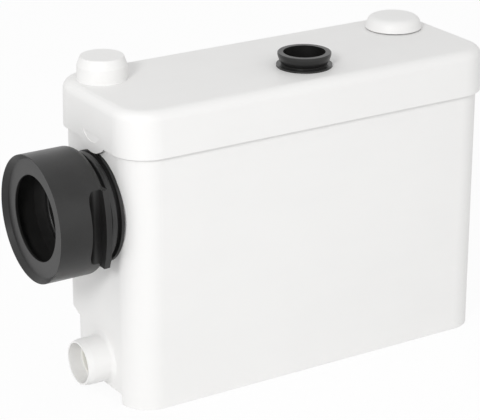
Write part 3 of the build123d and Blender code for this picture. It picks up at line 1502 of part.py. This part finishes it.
nodes = {
    "tank": make_tank(),
    "foot_pads": make_feet(),
    "lid": make_lid(),
    "lid_gasket": make_gasket(),
    "discharge_grommet": make_grommet(),
    "vent_cap": make_vent_cap(),
    "carbon_filter": make_filter(),
    "filter_cup": make_filter_cup(),
    "inlet_sleeve": make_sleeve(),
    "sleeve_ring": make_sleeve_ring(),
    "wall_seal": make_wall_seal(),
    "inlet_flap_frame": inlet_place * flap_frame(inlet_frame_bore, inlet_frame_radius, inlet_bore_radius,
                                                 inlet_plug_length),
    "inlet_flap": inlet_place * flap_disc(inlet_frame_bore),
    "inlet_flap_pin": inlet_place * flap_pin(inlet_frame_bore),
    "side_flap_frame": side_place * flap_frame(side_frame_bore, side_frame_radius, spigot_bore_radius,
                                               side_plug_length),
    "side_flap": side_place * flap_disc(side_frame_bore),
    "side_flap_pin": side_place * flap_pin(side_frame_bore),
    "inlet_chute": make_chute(),
    "macerator_basket": make_basket(),
    "pump_volute": make_volute(),
    "suction_plate": make_suction_plate(),
    "volute_seal": make_volute_seal(),
    "pump_screws": make_pump_screws(),
    "impeller": make_impeller(),
    "impeller_nut": make_impeller_nut(),
    "cutter_blade": make_blade(),
    "motor_shaft": make_shaft(),
    "rotor_core": make_rotor(),
    "stator_core": make_stator(),
    "stator_windings": make_windings(),
    "lower_bearing": bearing(lower_bearing_radius, can_z, can_z + lower_bearing_height),
    "upper_bearing": bearing(upper_bearing_radius, can_top_z - cover_hub_height,
                             can_top_z - cover_hub_height + upper_bearing_height),
    "shaft_seal": make_shaft_seal(),
    "motor_flange": make_motor_flange(),
    "motor_can": make_can(),
    "motor_cover": make_motor_cover(),
    "motor_cover_screws": make_cover_screws(),
    "motor_post_screws": make_post_screws(),
    "pump_outlet_hose": make_outlet_hose(),
    "discharge_riser": make_riser(),
    "discharge_valve_body": make_valve_body(),
    "discharge_flap": valve_seat() * flap_disc(pipe_bore),
    "discharge_flap_pin": valve_seat() * flap_pin(pipe_bore),
    "outlet_socket": make_outlet_socket(),
    "hose_clamps": make_hose_clamps(),
    "pressure_bell": make_bell(),
    "pressure_diaphragm": make_diaphragm(),
    "switch_plunger": make_plunger(),
    "switch_housing": make_switch_housing(),
    "microswitch": make_microswitch(),
    "switch_lever": make_lever(),
    "switch_button": make_button(),
    "deck_screws": make_deck_screws(),
    "electrics_box": make_electrics_box(),
    "electrics_cover": make_electrics_cover(),
    "electrics_screws": make_box_screws(),
    "run_capacitor": make_capacitor(),
    "terminal_block": make_terminal_block(),
    "inner_leads": make_leads(),
    "cable_bush": make_cable_bush(),
}

sleeve_front = nodes["inlet_sleeve"].bounding_box().min.X
to_middle = Pos(-(sleeve_front + lid_length / 2) / 2, 0, 0)

os.makedirs("parts", exist_ok=True)
for name, shape in nodes.items():
    if isinstance(shape, list):
        placed = Compound(children=[to_middle * piece for piece in shape])
    else:
        placed = to_middle * shape
    export_step(placed, f"parts/{name}.step")
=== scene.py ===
# Macerator toilet pump: looks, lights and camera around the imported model.
import json
import math

import bmesh
import bpy
from mathutils import Matrix, Vector


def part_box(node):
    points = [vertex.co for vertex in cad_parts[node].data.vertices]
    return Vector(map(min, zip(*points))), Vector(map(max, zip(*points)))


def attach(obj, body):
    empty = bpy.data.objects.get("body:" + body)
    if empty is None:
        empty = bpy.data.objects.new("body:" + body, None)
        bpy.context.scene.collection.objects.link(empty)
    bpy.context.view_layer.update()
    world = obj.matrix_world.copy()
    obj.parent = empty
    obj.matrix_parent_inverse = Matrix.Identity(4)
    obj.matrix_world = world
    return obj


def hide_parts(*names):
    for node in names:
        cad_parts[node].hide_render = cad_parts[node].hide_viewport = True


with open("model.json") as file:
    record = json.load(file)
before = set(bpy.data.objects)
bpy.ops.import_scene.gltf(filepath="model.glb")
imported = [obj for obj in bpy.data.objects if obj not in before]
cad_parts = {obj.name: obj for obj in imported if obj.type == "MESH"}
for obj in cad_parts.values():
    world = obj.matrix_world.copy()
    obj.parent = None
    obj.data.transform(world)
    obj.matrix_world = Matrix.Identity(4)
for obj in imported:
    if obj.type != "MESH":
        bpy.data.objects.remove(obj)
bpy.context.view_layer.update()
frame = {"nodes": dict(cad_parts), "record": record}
lidLow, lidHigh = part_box("lid")
tankMiddle = Vector(((lidLow[0] + lidHigh[0]) / 2, 0, 0))  # lamps and camera stand round it
print("frame loaded:", len(frame["nodes"]), "nodes")


# Shader maths: a socket that can be added, taken away and multiplied.
class Wire:
    def __init__(self, tree, socket):
        self.tree = tree
        self.socket = socket

    def reckon(self, operation, first, second):
        node = self.tree.nodes.new("ShaderNodeMath")
        node.operation = operation
        plug(self.tree, node.inputs[0], first)
        plug(self.tree, node.inputs[1], second)
        return Wire(self.tree, node.outputs[0])

    def __add__(self, other):
        return self.reckon("ADD", self, other)

    def __radd__(self, other):
        return self.reckon("ADD", other, self)

    def __sub__(self, other):
        return self.reckon("SUBTRACT", self, other)

    def __rsub__(self, other):
        return self.reckon("SUBTRACT", other, self)

    def __mul__(self, other):
        return self.reckon("MULTIPLY", self, other)

    def __rmul__(self, other):
        return self.reckon("MULTIPLY", other, self)


def plug(tree, target, value):
    # a wire is linked to the target socket, anything else is set on it
    if isinstance(value, Wire):
        tree.links.new(value.socket, target)
    else:
        target.default_value = value


# The node tree of a material or world; node() makes any node but a Math node.
class Shading:
    def __init__(self, owner):
        owner.use_nodes = True
        self.tree = owner.node_tree
        self.tree.nodes.clear()

    def node(self, kind, settings, sockets, output=0):
        made = self.tree.nodes.new(kind)
        for name, value in settings.items():
            setattr(made, name, value)
        for name, value in sockets.items():
            plug(self.tree, made.inputs[name], value)
        return Wire(self.tree, made.outputs[output]) if made.outputs else made

    def seenWhite(self):
        # 1 for rays from the eye, a reflection or glass, so that these see a white background
        eye, gloss, glass = [self.node("ShaderNodeLightPath", {}, {}, name)
                             for name in ("Is Camera Ray", "Is Glossy Ray", "Is Transmission Ray")]
        return eye + gloss + glass


# A finish is one material; wear() says what its surface is like.
class Finish(Shading):
    def __init__(self, name):
        self.material = bpy.data.materials.new(name)
        super().__init__(self.material)
        self.shader = self.node("ShaderNodeBsdfPrincipled", {}, {})
        self.output = self.node("ShaderNodeOutputMaterial", {}, {"Surface": self.shader})
        self.place = self.node("ShaderNodeTexCoord", {}, {}, "Object")

    def grain(self, size, detail=2.0, stretch=(1, 1, 1)):
        # noise whose blobs are about size metres across, 0 to 1
        place = self.node("ShaderNodeMapping", {}, {"Vector": self.place, "Scale": stretch})
        return self.node("ShaderNodeTexNoise", {}, {"Vector": place, "Scale": 1 / size, "Detail": detail}, "Fac")

    def bands(self, scale, waver, detail):
        # flat layers one over the other, 0 to 1
        return self.node("ShaderNodeTexWave", {"wave_type": "BANDS", "bands_direction": "Z"},
                         {"Vector": self.place, "Scale": scale, "Distortion": waver, "Detail": detail}, "Fac")

    def between(self, mask, first, second):
        # colour that runs from first to second as mask goes from 0 to 1
        return self.node("ShaderNodeMix", {"data_type": "RGBA"}, {0: mask, 6: first + (1,), 7: second + (1,)}, 2)

    def clamp(self, value, span):
        # 0 where the value is at the span's start or under it, 1 from its end on
        return self.node("ShaderNodeMapRange", {"clamp": True}, {0: value, 1: span[0], 2: span[1]})

    def relief(self, height, depth, under=None):
        # bump of a height map, depth in metres, over another bump
        sockets = {"Height": height, "Distance": depth, "Strength": 1.0}
        if under is not None:
            sockets["Normal"] = under
        return self.node("ShaderNodeBump", {}, sockets)

    def wear(self, **looks):
        names = {"colour": "Base Color", "rough": "Roughness", "metal": "Metallic", "coat": "Coat Weight",
                 "coatRough": "Coat Roughness", "ior": "IOR", "normal": "Normal"}
        for look, value in looks.items():
            target = self.shader.socket.node.inputs[names[look]]
            plug(self.tree, target, value + (1,) if isinstance(value, tuple) else value)


# In a finish's plan a noise is (size in metres, detail, stretch), and depths of relief are in metres too.
# White moulded plastic of the tank, lid and vent cap
whitePlan = {"base": (0.868, 0.864, 0.855), "shade": (0.852, 0.848, 0.840), "cloud": (0.11, 2.0),
             "cloudWeight": 0.7, "streak": (0.016, 3.0, (0.25, 1, 1)), "streakWeight": 0.3,
             "shadeSpan": (0.35, 0.7), "smudge": (0.045, 4.0, (1, 1, 0.6)), "smudgeSpan": (0.45, 0.75),
             "rough": 0.46, "smudgeRough": 0.10, "streakRough": 0.03, "peel": (0.004, 1.0), "peelDepth": 0.00002,
             "grain": (0.0007, 1.0), "grainDepth": 0.000008, "ior": 1.49}


def makeWhitePlastic(plan):
    f = Finish("whitePlastic")
    cloud = f.grain(*plan["cloud"])
    streak = f.grain(*plan["streak"])
    mask = f.clamp(cloud * plan["cloudWeight"] + streak * plan["streakWeight"], plan["shadeSpan"])
    smudge = f.clamp(f.grain(*plan["smudge"]), plan["smudgeSpan"])
    under = f.relief(f.grain(*plan["peel"]), plan["peelDepth"])
    f.wear(colour=f.between(mask, plan["base"], plan["shade"]),
           rough=plan["rough"] + plan["smudgeRough"] * smudge + plan["streakRough"] * streak,
           normal=f.relief(f.grain(*plan["grain"]), plan["grainDepth"], under), ior=plan["ior"])
    return f.material


# Black moulded rubber: sleeve, grommet, seals, flaps, hoses
rubberPlan = {"base": (0.011, 0.0108, 0.0106), "bloom": (0.021, 0.0207, 0.0203), "cloud": (0.035, 3.0),
              "cloudSpan": (0.35, 0.72), "cloudWeight": 0.8, "speck": (0.0022, 2.0), "speckSpan": (0.58, 0.72),
              "speckWeight": 0.2, "rough": 0.30, "cloudRough": 0.10, "speckRough": 0.05, "grain": (0.0009, 2.0),
              "grainDepth": 0.00002, "ior": 1.45}


def makeRubber(plan):
    f = Finish("blackRubber")
    cloud = f.clamp(f.grain(*plan["cloud"]), plan["cloudSpan"])
    speck = f.clamp(f.grain(*plan["speck"]), plan["speckSpan"])
    mask = cloud * plan["cloudWeight"] + speck * plan["speckWeight"]
    f.wear(colour=f.between(mask, plan["base"], plan["bloom"]),
           rough=plan["rough"] + plan["cloudRough"] * cloud + plan["speckRough"] * speck,
           normal=f.relief(f.grain(*plan["grain"]), plan["grainDepth"]), ior=plan["ior"])
    return f.material


# Plain moulded plastics inside: one recipe, and what differs for each
mouldedPlan = {"cloud": (0.04, 3.0), "shadeSpan": (0.35, 0.7), "cloudRough": 0.12, "grain": (0.0006, 2.0),
               "grainDepth": 0.000025, "ior": 1.5}
plasticPlans = {
    "black_plastic": {"base": (0.020, 0.020, 0.020), "shade": (0.030, 0.030, 0.0295), "rough": 0.32},
    "grey_plastic": {"base": (0.40, 0.41, 0.42), "shade": (0.34, 0.35, 0.36), "rough": 0.42},
    "dark_plastic": {"base": (0.055, 0.058, 0.062), "shade": (0.075, 0.078, 0.082), "rough": 0.40},
    "pale_plastic": {"base": (0.84, 0.83, 0.79), "shade": (0.79, 0.78, 0.73), "rough": 0.38},
}


def makePlastic(name, plan):
    f = Finish(name.replace("_", " ").title().replace(" ", ""))
    cloud = f.clamp(f.grain(*plan["cloud"]), plan["shadeSpan"])
    f.wear(colour=f.between(cloud, plan["base"], plan["shade"]), rough=plan["rough"] + plan["cloudRough"] * cloud,
           normal=f.relief(f.grain(*plan["grain"]), plan["grainDepth"]), ior=plan["ior"])
    return f.material


# Steel with fine turning or brushing marks
steelPlan = {"base": (0.56, 0.56, 0.55), "dark": (0.44, 0.44, 0.44), "marks": (0.0009, 3.0, (0.05, 0.05, 1.0)),
             "marksWeight": 0.5, "stain": (0.022, 3.0), "stainSpan": (0.4, 0.75), "stainWeight": 0.5, "metal": 1.0,
             "rough": 0.26, "marksRough": 0.16, "stainRough": 0.08, "marksDepth": 0.00001}


def makeSteel(plan):
    f = Finish("brushedSteel")
    marks = f.grain(*plan["marks"])
    stain = f.clamp(f.grain(*plan["stain"]), plan["stainSpan"])
    mask = marks * plan["marksWeight"] + stain * plan["stainWeight"]
    f.wear(colour=f.between(mask, plan["base"], plan["dark"]), metal=plan["metal"],
           rough=plan["rough"] + plan["marksRough"] * marks + plan["stainRough"] * stain,
           normal=f.relief(marks, plan["marksDepth"]))
    return f.material


# Stacked sheets of the stator and rotor; sheets are (scale, waver, detail)
corePlan = {"base": (0.20, 0.20, 0.205), "edge": (0.34, 0.33, 0.32), "sheets": (100.0, 0.0, 2.0),
            "sheetWeight": 0.5, "sheetDepth": 0.00012, "stain": (0.012, 4.0), "stainSpan": (0.4, 0.7),
            "stainWeight": 0.5, "metal": 0.85, "rough": 0.42, "stainRough": 0.2}


def makeCore(plan):
    f = Finish("stackedSteel")
    sheets = f.bands(*plan["sheets"])
    stain = f.clamp(f.grain(*plan["stain"]), plan["stainSpan"])
    mask = sheets * plan["sheetWeight"] + stain * plan["stainWeight"]
    f.wear(colour=f.between(mask, plan["base"], plan["edge"]), metal=plan["metal"],
           rough=plan["rough"] + plan["stainRough"] * stain, normal=f.relief(sheets, plan["sheetDepth"]))
    return f.material


# Lacquered copper wire of the windings; wires are (scale, waver, detail); the wire crests carry a painted
# highlight and the grooves between wires painted shade
copperPlan = {"base": (0.42, 0.13, 0.05), "crestHighlight": (0.62, 0.25, 0.11), "wires": (0.05 / 0.0011, 1.2, 1.0),
              "wireDepth": 0.0004, "metal": 0.9, "rough": 0.30, "grooveRough": 0.15, "coat": 0.4, "coatRough": 0.2}


def makeCopper(plan):
    f = Finish("copperWire")
    wires = f.bands(*plan["wires"])
    # colour runs from painted shade in the grooves (base) to a painted highlight on the wire crests
    f.wear(colour=f.between(wires, plan["base"], plan["crestHighlight"]), metal=plan["metal"],
           rough=plan["rough"] + plan["grooveRough"] * (1 - wires), normal=f.relief(wires, plan["wireDepth"]),
           coat=plan["coat"], coatRough=plan["coatRough"])
    return f.material


# Drawn can of the capacitor
canPlan = {"base": (0.74, 0.74, 0.75), "dark": (0.62, 0.62, 0.64), "marks": (0.0012, 2.0, (1, 1, 0.05)),
           "metal": 1.0, "rough": 0.3, "marksRough": 0.15, "marksDepth": 0.00001}


def makeAluminium(plan):
    f = Finish("drawnAluminium")
    marks = f.grain(*plan["marks"])
    f.wear(colour=f.between(marks, plan["base"], plan["dark"]), metal=plan["metal"],
           rough=plan["rough"] + plan["marksRough"] * marks, normal=f.relief(marks, plan["marksDepth"]))
    return f.material


# Open foam of the carbon filter; its pores carry painted shade, darker towards each cell's middle
foamPlan = {"hollow": (0.012, 0.012, 0.012), "wall": (0.07, 0.07, 0.07), "cellScale": 900.0, "rough": 0.85,
            "cellRough": 0.1, "cellDepth": 0.0008}


def makeFoam(plan):
    f = Finish("carbonFoam")
    cells = f.node("ShaderNodeTexVoronoi", {"feature": "F1"}, {"Vector": f.place, "Scale": plan["cellScale"]},
                   "Distance")
    # colour is painted shade in each pore, lighter towards the cell walls
    f.wear(colour=f.between(cells, plan["hollow"], plan["wall"]), rough=plan["rough"] + plan["cellRough"] * cells,
           normal=f.relief(cells, plan["cellDepth"]))
    return f.material


finishes = {"white_plastic": makeWhitePlastic(whitePlan), "black_rubber": makeRubber(rubberPlan),
            "steel": makeSteel(steelPlan), "core_steel": makeCore(corePlan), "copper": makeCopper(copperPlan),
            "aluminium": makeAluminium(canPlan), "carbon_foam": makeFoam(foamPlan)}
for slotName, plan in plasticPlans.items():
    finishes[slotName] = makePlastic(slotName, {**mouldedPlan, **plan})

slotOf = {part["node"]: part["material_slot"] for part in frame["record"]["subparts"]}
for nodeName, piece in frame["nodes"].items():
    for materialSlot in piece.material_slots:
        materialSlot.material = finishes[slotOf[nodeName]]
print("finishes set:", len(finishes))


# Turned pieces: an outline of (radius, reach) pairs in metres goes round an axis
turnPlan = {"turns": 128, "crease": 28.0, "onAxis": 0.00001}  # an edge stays sharp from crease degrees on


def turnPiece(name, outline, centre, axis, slotName, body):
    shell = bmesh.new()
    side = axis.orthogonal().normalized()
    other = axis.cross(side)
    turns = turnPlan["turns"]
    angles = [2 * math.pi * i / turns for i in range(turns)]
    rings = []
    for radius, reach in outline:
        spot = centre + axis * reach
        if radius < turnPlan["onAxis"]:
            rings.append([shell.verts.new(spot)])
        else:
            rings.append([shell.verts.new(spot + (side * math.cos(a) + other * math.sin(a)) * radius)
                          for a in angles])
    if len(rings[0]) > 1:
        rings.append(rings[0])  # an outline that doesn't start on the axis closes on itself
    for first, second in zip(rings, rings[1:]):
        for i in range(turns):
            j = (i + 1) % turns
            if len(first) == 1:
                corners = (first[0], second[j], second[i])
            elif len(second) == 1:
                corners = (first[i], first[j], second[0])
            else:
                corners = (first[i], first[j], second[j], second[i])
            shell.faces.new(corners)
    bmesh.ops.recalc_face_normals(shell, faces=shell.faces)
    mesh = bpy.data.meshes.new(name)
    shell.to_mesh(mesh)
    shell.free()
    mesh.shade_smooth()
    mesh.set_sharp_from_angle(angle=math.radians(turnPlan["crease"]))
    mesh.materials.append(finishes[slotName])
    piece = bpy.data.objects.new(name, mesh)
    bpy.context.scene.collection.objects.link(piece)
    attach(piece, body)
    return piece


def bend(start, corner, end, steps):
    # points on a curve from start to end that leans towards corner
    points = []
    for i in range(steps + 1):
        t = i / steps
        points.append(tuple(a * (1 - t) ** 2 + 2 * b * t * (1 - t) + c * t * t
                            for a, b, c in zip(start, corner, end)))
    return points


# Rubber bead that closes the joint between the inlet's collar and the sleeve, inside the bore
beadPlan = {"radius": 0.03995, "width": 0.0034, "length": 0.0016, "joint": 0.0004, "steps": 10}


def makeInletBead(plan):
    ringLow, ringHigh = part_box("sleeve_ring")
    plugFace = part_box("inlet_flap_frame")[0][0]
    centre = Vector((plugFace - plan["joint"], (ringLow[1] + ringHigh[1]) / 2, (ringLow[2] + ringHigh[2]) / 2))
    outline = []
    for step in range(plan["steps"] + 1):
        angle = math.pi * step / plan["steps"]  # half an ellipse that bulges out of the bore
        outline.append((plan["radius"] - plan["width"] * (1 - math.cos(angle)) / 2,
                        plan["length"] * math.sin(angle)))
    turnPiece("inletBead", outline, centre, Vector((-1, 0, 0)), "black_rubber", "housing")


# Vent cap with the soft moulded crown of the photographed one; its skirts and height are the solid's
capPlan = {"radius": 0.0279, "rim": 0.0005, "skirt": 0.0259, "skirtTop": 0.0249, "collar": 0.02115,
           "collarWall": 0.002, "collarLow": 0.001, "roof": 0.0043, "roundStart": (0.0262, 0.0066),
           "roundCorner": (0.0246, 0.0113), "roundEnd": (0.0192, 0.01185), "domeCorner": (0.0110, 0.0123),
           "steps": 8}


def makeCap(plan):
    capLow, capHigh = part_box("vent_cap")
    centre = Vector(((capLow[0] + capHigh[0]) / 2, (capLow[1] + capHigh[1]) / 2, capLow[2]))
    outer = plan["collar"] + plan["collarWall"]
    outline = [(0, plan["roof"]), (plan["collar"], plan["roof"]), (plan["collar"], plan["collarLow"]),
               (outer, plan["collarLow"]), (outer, plan["roof"]), (plan["skirtTop"], plan["roof"]),
               (plan["skirt"], 0), (plan["radius"] - plan["rim"], 0), (plan["radius"], plan["rim"])]
    outline += bend(plan["roundStart"], plan["roundCorner"], plan["roundEnd"], plan["steps"])
    outline += bend(plan["roundEnd"], plan["domeCorner"], (0, capHigh[2] - capLow[2]), plan["steps"])[1:]
    cap = turnPiece("ventCapShell", outline, centre, Vector((0, 0, 1)), "white_plastic", "vent_cap")
    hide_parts("vent_cap")


makeInletBead(beadPlan)
makeCap(capPlan)
print("bead and cap made")


# Floor and surroundings
studioPlan = {"floorSize": 12.0, "floorColour": (0.92, 0.92, 0.92), "floorRough": 0.9, "floorWhite": 0.93,
              "skyColour": (1, 1, 1, 1), "skyStrength": 0.675, "seenStrength": 1.0}


def makeFloor(plan):
    bpy.ops.mesh.primitive_plane_add(size=plan["floorSize"])
    floor = bpy.context.object
    floor.name = "floor"
    f = Finish("studioFloor")
    f.wear(colour=plan["floorColour"], rough=plan["floorRough"])
    glow = f.node("ShaderNodeEmission", {}, {})
    white = f.node("ShaderNodeMixShader", {}, {0: f.seenWhite() * plan["floorWhite"], 1: f.shader, 2: glow})
    plug(f.tree, f.output.inputs["Surface"], white)
    floor.data.materials.append(f.material)


def makeSky(plan):
    world = bpy.data.worlds.new("studio")
    bpy.context.scene.world = world
    sky = Shading(world)
    lit, seen = [sky.node("ShaderNodeBackground", {}, {"Color": plan["skyColour"], "Strength": plan[strength]})
                 for strength in ("skyStrength", "seenStrength")]
    both = sky.node("ShaderNodeMixShader", {}, {0: sky.seenWhite(), 1: lit, 2: seen})
    sky.node("ShaderNodeOutputWorld", {}, {"Surface": both})


# Lamps and camera, in metres from the tank's middle on the floor
lampPlan = [
    {"name": "leftKey", "at": (-1.95, -1.5, 1.5), "aim": (-0.1, 0, 0.16), "size": 0.55, "watts": 27.5},
    {"name": "frontFill", "at": (0.3, -2.7, 1.0), "aim": (0, 0, 0.15), "size": 2.2, "watts": 6.0},
]


def makeLamps(plans):
    for plan in plans:
        lamp = bpy.data.lights.new(plan["name"], "AREA")
        lamp.shape = "SQUARE"
        lamp.size = plan["size"]
        lamp.energy = plan["watts"]
        holder = bpy.data.objects.new(plan["name"], lamp)
        holder.location = Vector(plan["at"]) + tankMiddle
        aim = Vector(plan["aim"]) - Vector(plan["at"])
        holder.rotation_euler = aim.to_track_quat("-Z", "Y").to_euler()
        holder.visible_camera = False
        bpy.context.scene.collection.objects.link(holder)


cameraPlan = {"at": (-1.0192, -1.5627, 0.8621), "aim": (-0.0409, 0.0, 0.14721), "lens": 155.25, "sensor": 36.0,
              "roll": 0.07, "seesTo": 50.0}  # roll in degrees, seesTo in metres


def makeCamera(plan):
    eye = bpy.data.cameras.new("photoEye")
    eye.sensor_width = plan["sensor"]
    eye.lens = plan["lens"]
    eye.clip_end = plan["seesTo"]
    holder = bpy.data.objects.new("photoEye", eye)
    aim = Vector(plan["aim"]) - Vector(plan["at"])
    turn = aim.to_track_quat("-Z", "Y").to_matrix() @ Matrix.Rotation(math.radians(plan["roll"]), 3, "Z")
    holder.matrix_world = Matrix.Translation(Vector(plan["at"]) + tankMiddle) @ turn.to_4x4()
    bpy.context.scene.collection.objects.link(holder)
    bpy.context.scene.camera = holder


makeFloor(studioPlan)
makeSky(studioPlan)
makeLamps(lampPlan)
makeCamera(cameraPlan)
bpy.context.scene.view_settings.view_transform = "Standard"
print("studio ready")
